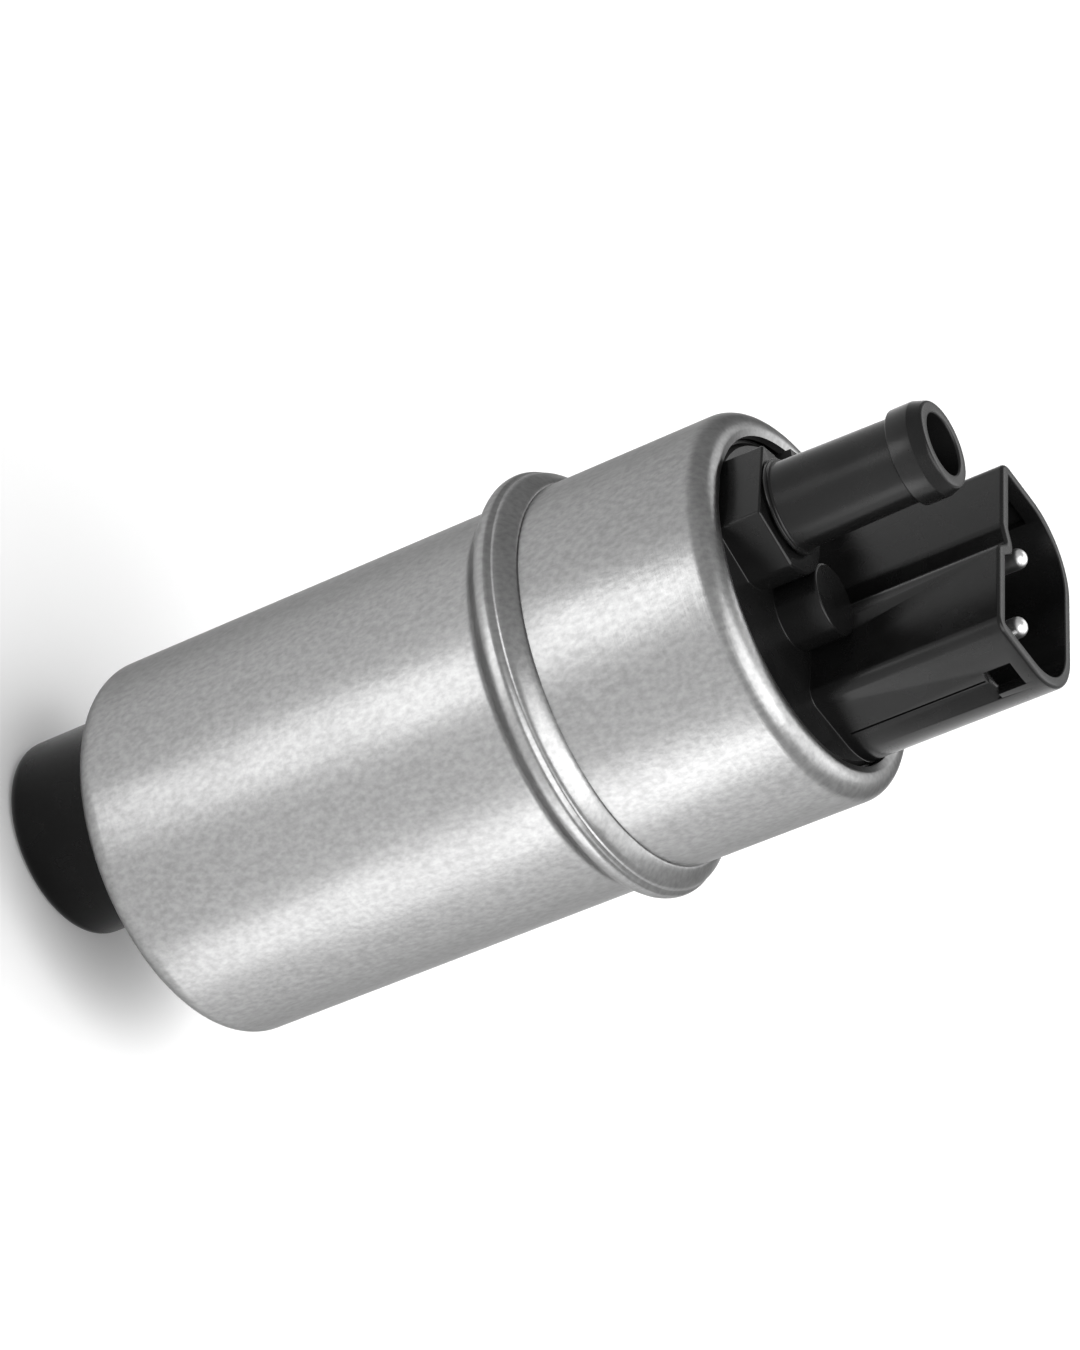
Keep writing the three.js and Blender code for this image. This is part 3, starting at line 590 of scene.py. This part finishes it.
def socket_loop(inset):
    """Outline of the plug socket: flat back with wide corners, stepped front with a key groove."""
    half = SOCKET_HALF - inset
    corner = SOCKET_CORNER - inset
    corner_x = SOCKET_BACK - SOCKET_CORNER
    corner_y = SOCKET_HALF - SOCKET_CORNER
    step = SOCKET_FRONT + KEY_STEP
    front = [
        (corner_x, SOCKET_HALF), (step, SOCKET_HALF), (step, KEY_SHOULDER),
        (SOCKET_FRONT + KEY_DEPTH, KEY_TIP), (SOCKET_FRONT, KEY_FOOT), (SOCKET_FRONT, -SOCKET_HALF),
        (corner_x, -SOCKET_HALF),
    ]
    lines = [shifted(a, b, inset) for a, b in zip(front, front[1:])]
    knots = [crossing(a, b) for a, b in zip(lines, lines[1:])]
    ends = [Vector((corner_x, half)), *knots, Vector((corner_x, -half))]
    front_corner = FRONT_CORNER - inset
    radii = [front_corner, SHOULDER_ROUND - inset, TIP_ROUNDING + inset, HEEL_ROUND - inset, front_corner]
    rounded = []
    for before, knot, after, radius in zip(ends, ends[1:], ends[2:], radii):
        rounded += fillet(knot, before, after, radius)
    return [
        *arc(corner_x, -corner_y, corner, -QUARTER, 0, ARC_STEPS * 3),
        *arc(corner_x, corner_y, corner, 0, QUARTER, ARC_STEPS * 3),
        *rounded,
    ]


def boss_loop(inset):
    """A circle with a flat towards the can's edge and one at each side, rounded where they meet."""
    corner = max(BOSS_CORNER - inset, LEAST_CORNER)
    radius = BOSS_RADIUS - inset - corner
    main = BOSS_FLAT - inset - corner
    side = BOSS_SIDE_FLAT - inset - corner
    angle = BOSS_SIDE_ANGLE
    turn = angle - math.acos(side / radius)
    round_x, round_y = polar(radius, turn)
    flat_y = (side + main * math.cos(angle)) / math.sin(angle)
    points = [
        *arc(0, 0, radius + corner, -turn, turn, ARC_STEPS * 8)[1:-1],
        *arc(round_x, round_y, corner, turn, angle),
        *arc(-main, flat_y, corner, angle, math.pi),
        *arc(-main, -flat_y, corner, math.pi, TURN - angle),
        *arc(round_x, -round_y, corner, TURN - angle, TURN - turn),
    ]
    return [(x + STUB_X, y) for x, y in points]


def foot_levels():
    """Levels of a foot that starts below the cover's face and has a fillet on it."""
    rise = arc(-FOOT_FILLET, COVER_FACE + FOOT_FILLET, FOOT_FILLET, -QUARTER, 0)
    return [(-FOOT_FILLET, COVER_TOP - OVERCUT), *rise]


def build_socket():
    """The plug socket: its wall with a rounded rim, and its hollow down to its floor."""
    outside = arc(RIM_ROUND, SOCKET_TOP - RIM_ROUND, RIM_ROUND, math.pi, QUARTER)
    inside = arc(SOCKET_WALL - HOLLOW_ROUND, SOCKET_TOP - HOLLOW_ROUND, HOLLOW_ROUND, QUARTER, 0)
    levels = [*foot_levels(), *outside, *inside, (SOCKET_WALL, SOCKET_BASE)]
    return loft("socket", raise_loop(socket_loop, levels))


def build_boss():
    """The boss under the hose stub, not yet bored."""
    edge = arc(BOSS_EDGE, BOSS_TOP - BOSS_EDGE, BOSS_EDGE, math.pi, QUARTER)
    levels = [*foot_levels(), *edge, (BOSS_RADIUS - BOSS_BORE - BORE_MARGIN, BOSS_TOP)]
    return loft("boss", raise_loop(boss_loop, levels))


def build_pillar():
    """The round pillar between boss and socket."""
    top = BOSS_TOP - PILLAR_DROP
    outline = [
        *[(PILLAR_RADIUS - inset, height) for inset, height in foot_levels()],
        *arc(PILLAR_RADIUS - BOSS_EDGE, top - BOSS_EDGE, BOSS_EDGE, 0, QUARTER),
    ]
    return lathe("pillar", outline, ROUND_SIDES, PILLAR_X, PILLAR_Y, capped=True)


def prism(name, profile, x0, x1):
    """A solid with one outline of (y, z) points all along X."""
    return loft(name, [[(x, y, z) for y, z in profile] for x in (x0, x1)])


def socket_cuts():
    """What is cut from the socket: window, blind recess, the window's lead facet and the side groove."""
    top = SOCKET_TOP - WINDOW_DROP
    foot = top - WINDOW_HEIGHT
    back = WINDOW_FRONT + WINDOW_WIDTH
    hollow = SOCKET_HALF - SOCKET_WALL
    beyond = SOCKET_HALF + OVERCUT
    slope = LEAD_DROP / LEAD_DEPTH
    lead = [
        (-beyond, foot - slope * (OVERCUT + LEAD_DEPTH)), (LEAD_DEPTH - SOCKET_HALF, foot), (-beyond, foot),
    ]
    window = box_between("window", (WINDOW_FRONT, -beyond, foot), (back, OVERCUT - hollow, top))
    recess = box_between("recess", (WINDOW_FRONT, hollow - OVERCUT, foot),
                         (back, hollow + WINDOW_RECESS, top))
    groove = box_between("groove", (GROOVE_X, -beyond, COVER_FACE + GROOVE_RISE),
                         (GROOVE_X + GROOVE_WIDTH, GROOVE_DEPTH - SOCKET_HALF, foot - GROOVE_GAP))
    return [window, recess, prism("lead", lead, LEAD_FRONT, LEAD_FRONT + LEAD_WIDTH), groove]


def build_lug():
    """The small lug beside the boss, turned to its place round the axis."""
    back = MOUTH_OPENING - LUG_INSET
    lug = box_between("lug", (back - LUG_DEPTH, -LUG_WIDTH / 2, COVER_TOP),
                      (back, LUG_WIDTH / 2, COVER_FACE + LUG_HEIGHT))
    lug.data.transform(Matrix.Rotation(LUG_ANGLE, 4, "Z"))
    return lug


def build_outlet_cover():
    """Outlet cover: flange and face, socket, bored boss, pillar and lug."""
    foot = COVER_TOP - FLANGE_DEPTH
    edge = MOUTH_OPENING - FIT
    skirt_bore = SEAT_RADIUS - SKIRT_WALL
    rim = [
        (AXIS_RADIUS, foot), (skirt_bore, foot), (skirt_bore, SKIRT_FOOT), (SEAT_RADIUS, SKIRT_FOOT),
        (SEAT_RADIUS, COVER_TOP - RIM_CHAMFER), (SEAT_RADIUS - RIM_CHAMFER, COVER_TOP), (edge, COVER_TOP),
        (edge - FACE_RISE, COVER_FACE), (AXIS_RADIUS, COVER_FACE),
    ]
    cover = lathe("outlet_cover_moulded", rim, ROUND_SIDES, capped=True)
    combine(cover, [build_socket(), build_boss(), build_pillar(), build_lug()], "UNION")
    bore_outline = [(BOSS_BORE, COVER_FACE - BOSS_FLOOR_DROP), (BOSS_BORE, BOSS_TOP + OVERCUT)]
    seat_outline = [(SEAT_BORE, foot - OVERCUT), (SEAT_BORE, COVER_FACE)]
    bore = lathe("bore", bore_outline, ROUND_SIDES, STUB_X, 0, capped=True)
    seat = lathe("seat", seat_outline, SMALL_SIDES, STUB_X, 0, capped=True)
    combine(cover, [*socket_cuts(), bore, seat], "DIFFERENCE")
    bevel(cover, COVER_EDGE)
    soften(cover)
    stand_for(cover, "outlet_cover", "cover_plastic")


def build_hose_stub():
    """Hose stub: spigot in the boss, thin flange, tapered pipe, barb and rounded tip."""
    barb_foot = STUB_END - BARB_START
    spigot = BOSS_BORE - SPIGOT_SLACK
    spigot_foot = FLANGE_FOOT - SPIGOT_DEPTH
    rim = FLANGE_RADIUS - FLANGE_EDGE
    outline = [
        (STUB_BORE, spigot_foot), (spigot, spigot_foot), (spigot, FLANGE_FOOT),
        *arc(rim, FLANGE_FOOT + FLANGE_EDGE, FLANGE_EDGE, -QUARTER, 0, FLANGE_STEPS),
        *arc(rim, STUB_FOOT - FLANGE_EDGE, FLANGE_EDGE, 0, QUARTER, FLANGE_STEPS),
        *arc(STUB_BASE + STUB_FILLET, STUB_FOOT + STUB_FILLET, STUB_FILLET, -QUARTER, -math.pi, EDGE_STEPS),
        (STUB_TOP, barb_foot - BARB_NECK),
        *arc(BARB_RADIUS - BARB_EDGE, barb_foot + BARB_EDGE, BARB_EDGE, -QUARTER, 0, EDGE_STEPS),
        *arc(BARB_RADIUS - BARB_SHOULDER, barb_foot + BARB_LAND, BARB_SHOULDER, 0, BARB_TURN, EDGE_STEPS),
        *arc(TIP_RADIUS - TIP_ROUND, STUB_END - TIP_ROUND, TIP_ROUND, TIP_TURN, QUARTER, TIP_STEPS),
        *arc(STUB_BORE + STUB_BORE_EDGE, STUB_END - STUB_BORE_EDGE, STUB_BORE_EDGE, QUARTER, math.pi,
             EDGE_STEPS),
    ]
    stub = lathe("hose_stub_moulded", outline, ROUND_SIDES, STUB_X, 0)
    soften(stub)
    stand_for(stub, "hose_stub", "cover_plastic")


def build_pins():
    """The two round plug pins with domed tips."""
    for sign, side in (("positive", 1), ("negative", -1)):
        node = f"terminal_pin_{sign}"
        foot, top = height_span(node)
        dome = arc(PIN_CAP, top - PIN_RADIUS, PIN_RADIUS - PIN_CAP, 0, PIN_DOME, ARC_STEPS * 2)
        outline = [(PIN_CAP, foot), (PIN_RADIUS, foot), *dome]
        pin = lathe(f"plug_pin_{sign}", outline, PIN_SIDES, PIN_X, side * PIN_SPACING / 2, capped=True)
        soften(pin)
        stand_for(pin, node, "pin_plating")


def slot_of(node):
    """The material slot of a CAD node."""
    rows = frame["record"]["subparts"]
    return next(row["material_slot"] for row in rows if row["node"] == node)


# Springs: node, joint, share of length kept at its limit, turns, wire radius
SPRINGS = [
    ("brush_spring_positive", "brush_positive_lift", 0.744, 5, 0.25),
    ("brush_spring_negative", "brush_negative_lift", 0.744, 5, 0.25),
    ("check_valve_spring", "check_valve_lift", 0.674, 6, 0.2),
    ("relief_valve_spring", "relief_valve_lift", 0.749, 4, 0.2),
]
SPRING_STEPS = 28
SPRING_SIDES = 10
# Turns that lie closed at each end, and their pitch in wire radii
CLOSED_TURNS = 0.8
CLOSED_PITCH = 2.1


def coil_rings(x, y, radius, wire, turns, low, high):
    """Rings along a spring whose end turns lie closed."""
    rings = []
    closed = CLOSED_TURNS * wire * CLOSED_PITCH
    open_turns = turns - 2 * CLOSED_TURNS
    for i in range(turns * SPRING_STEPS + 1):
        done = i / SPRING_STEPS
        first = min(done, CLOSED_TURNS) / CLOSED_TURNS * closed
        last = max(done - turns + CLOSED_TURNS, 0.0) / CLOSED_TURNS * closed
        middle = min(max(done - CLOSED_TURNS, 0.0), open_turns) / open_turns
        height = low + wire + first + last + middle * (high - low - 2 * wire - 2 * closed)
        dx, dy = polar(1.0, done * TURN)
        ring = []
        for k in range(SPRING_SIDES):
            out, up = polar(wire, TURN * k / SPRING_SIDES)
            ring.append((x + dx * (radius + out), y + dy * (radius + out), height + up))
        rings.append(ring)
    return rings


def build_springs():
    """Each spring stands in its CAD node's box."""
    for node, joint, keep, turns, wire in SPRINGS:
        low, high = (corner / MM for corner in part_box(node))
        middle = (low + high) / 2
        radius = (high.y - low.y) / 2 - wire
        spring = loft(f"{node}_wound", coil_rings(middle.x, middle.y, radius, wire, turns, low.z, high.z))
        soften(spring, SPRING_SHARP_ANGLE)
        stand_for(spring, node, slot_of(node))
        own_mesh(spring)


def dress_nodes():
    """Every CAD node gets the finish of its slot."""
    for part in frame["record"]["subparts"]:
        dress(frame["nodes"][part["node"]], part["material_slot"])


# Camera, as fitted to the photo's outlines
CAMERA_PLACE = (-0.26835, -0.33015, 0.24882)
CAMERA_RIGHT = (0.53692, 0.06587, 0.84106)
CAMERA_UP = (-0.62381, 0.70217, 0.34323)
CAMERA_BACK = (-0.56797, -0.70894, 0.41810)
LENS = 133.49
SENSOR = 36.0


def build_camera():
    data = bpy.data.cameras.new("camera")
    data.lens = LENS
    data.sensor_width = SENSOR
    camera = bpy.data.objects.new("camera", data)
    bpy.context.scene.collection.objects.link(camera)
    turn = Matrix((CAMERA_RIGHT, CAMERA_UP, CAMERA_BACK)).transposed().to_4x4()
    camera.matrix_world = Matrix.Translation(CAMERA_PLACE) @ turn
    bpy.context.scene.camera = camera


# Light: azimuths and elevations in degrees, sizes and distances in metres
HORIZON_LIGHT = 0.6
ZENITH_LIGHT = 0.5
GRADIENT_START = 0.22
GRADIENT_END = 0.7
DIM_AZIMUTH = 92.0
DIM_SHARE = 0.65
DIM_REACH = 0.9
FLOOR_COLOR = 0.9
FLOOR_GLOW = 0.1
FLOOR_SIZE = 4.0
PANEL_RISE = 0.001
# Two rows of floor panels, which the can shows as bright bands: place round the can, and direction
BANDS = {"left": (-145.1, -163.0), "right": (-97.1, -62.5)}
# The panels of a row: near and far end, width and radiance
BAND_SPANS = [
    (0.018, 0.045, 0.020, 1.3), (0.045, 0.095, 0.044, 1.75), (0.095, 0.175, 0.105, 1.95),
    (0.175, 0.270, 0.090, 3.2),
]
# Square soft boxes: azimuth, elevation, distance, side, radiance and the point that it faces
LAMPS = {
    "key": (-95.0, 55.0, 0.5, 0.44, 2.8, (0.0, 0.0, 0.04)),
    "back": (45.0, 89.0, 0.38, 0.5, 1.3, (0.30, 0.32, 0.0)),
    "right": (-10.0, 89.0, 0.36, 0.4, 1.5, (0.24, -0.03, 0.0)),
}


def math_node(tree, operation, first, second):
    """A maths node's result, from two outputs."""
    node = tree.nodes.new("ShaderNodeMath")
    node.operation = operation
    tree.links.new(first, node.inputs[0])
    tree.links.new(second, node.inputs[1])
    return node.outputs[0]


def seen_ray(tree):
    """1 for rays that show the background: from the camera, or through gloss or glass."""
    path = tree.nodes.new("ShaderNodeLightPath").outputs
    near = math_node(tree, "MAXIMUM", path["Is Camera Ray"], path["Is Glossy Ray"])
    return math_node(tree, "MAXIMUM", near, path["Is Transmission Ray"])


def build_world():
    """Light from all round, a little brighter at the horizon and dimmer on one side."""
    world = bpy.data.worlds.new("studio")
    bpy.context.scene.world = world
    world.use_nodes = True
    tree = world.node_tree
    background = tree.nodes["Background"]
    background.inputs["Color"].default_value = (*grey(1.0), 1.0)
    place = tree.nodes.new("ShaderNodeTexCoord").outputs["Generated"]
    parts = tree.nodes.new("ShaderNodeSeparateXYZ")
    tree.links.new(place, parts.inputs["Vector"])
    toward = tree.nodes.new("ShaderNodeVectorMath")
    toward.operation = "DOT_PRODUCT"
    toward.inputs[1].default_value = (*polar(1.0, math.radians(DIM_AZIMUTH)), 0.0)
    tree.links.new(place, toward.inputs[0])
    rise = map_range(tree, parts.outputs["Z"], (GRADIENT_START, GRADIENT_END), HORIZON_LIGHT, ZENITH_LIGHT,
                     "SMOOTHSTEP")
    dimmed = map_range(tree, toward.outputs["Value"], (0.0, DIM_REACH), 1.0, DIM_SHARE, "SMOOTHSTEP")
    tree.links.new(math_node(tree, "MULTIPLY", rise, dimmed), background.inputs["Strength"])


def build_floor():
    """A plain white floor under the pump, which keeps its shadow."""
    size = FLOOR_SIZE / MM
    corners = [(x, y, INLET_FOOT) for x, y in ((-size, -size), (size, -size), (size, size), (-size, size))]
    floor = make("floor", corners, [(0, 1, 2, 3)])
    made = bpy.data.materials.new("floor")
    made.use_nodes = True
    tree = made.node_tree
    tree.nodes.clear()
    output = tree.nodes.new("ShaderNodeOutputMaterial")
    matt = tree.nodes.new("ShaderNodeBsdfDiffuse")
    matt.inputs["Color"].default_value = (*grey(FLOOR_COLOR), 1.0)
    glow = tree.nodes.new("ShaderNodeEmission")
    scale = tree.nodes.new("ShaderNodeMath")
    scale.operation = "MULTIPLY"
    scale.inputs[1].default_value = FLOOR_GLOW
    both = tree.nodes.new("ShaderNodeAddShader")
    tree.links.new(seen_ray(tree), scale.inputs[0])
    tree.links.new(scale.outputs[0], glow.inputs["Strength"])
    tree.links.new(matt.outputs[0], both.inputs[0])
    tree.links.new(glow.outputs[0], both.inputs[1])
    tree.links.new(both.outputs[0], output.inputs["Surface"])
    floor.data.materials.append(made)


def area_lamp(name, width, height, radiance, place, turn):
    """A rectangular soft box of one radiance all over, not seen by the camera."""
    data = bpy.data.lights.new(name, "AREA")
    data.shape = "RECTANGLE"
    data.size = width
    data.size_y = height
    data.energy = radiance * math.pi * width * height
    lamp = bpy.data.objects.new(name, data)
    bpy.context.scene.collection.objects.link(lamp)
    lamp.visible_camera = False
    lamp.rotation_mode = "QUATERNION"
    lamp.location = place
    lamp.rotation_quaternion = turn


def add_lamp(name, azimuth, elevation, distance, side, radiance, aim):
    """A soft box at a direction and a distance from the point that it faces."""
    across, up = polar(distance, math.radians(elevation))
    offset = Vector((*polar(across, math.radians(azimuth)), up))
    area_lamp(name, side, side, radiance, Vector(aim) + offset, (-offset).to_track_quat("-Z", "Y"))


def add_panel(name, start, azimuth, near, far, width, radiance):
    """A bright panel on the floor, facing up, on a line that leaves the can's side."""
    angle = math.radians(azimuth)
    start_x, start_y = polar(CAN_RADIUS * MM, math.radians(start))
    dx, dy = polar((near + far) / 2, angle)
    place = (start_x + dx, start_y + dy, INLET_FOOT * MM + PANEL_RISE)
    turn = Matrix.Rotation(angle, 4, "Z") @ Matrix.Rotation(math.pi, 4, "X")
    area_lamp(name, far - near, width, radiance, place, turn.to_quaternion())


def build_lamps():
    for side, (start, azimuth) in BANDS.items():
        for number, panel in enumerate(BAND_SPANS):
            add_panel(f"band_{side}_{number}", start, azimuth, *panel)
    for name, values in LAMPS.items():
        add_lamp(name, *values)


build_camera()
build_world()
build_floor()
build_lamps()
dress_nodes()
build_can()
build_inlet()
build_outlet_cover()
build_hose_stub()
build_pins()
build_springs()

bpy.context.scene.view_settings.view_transform = "Standard"
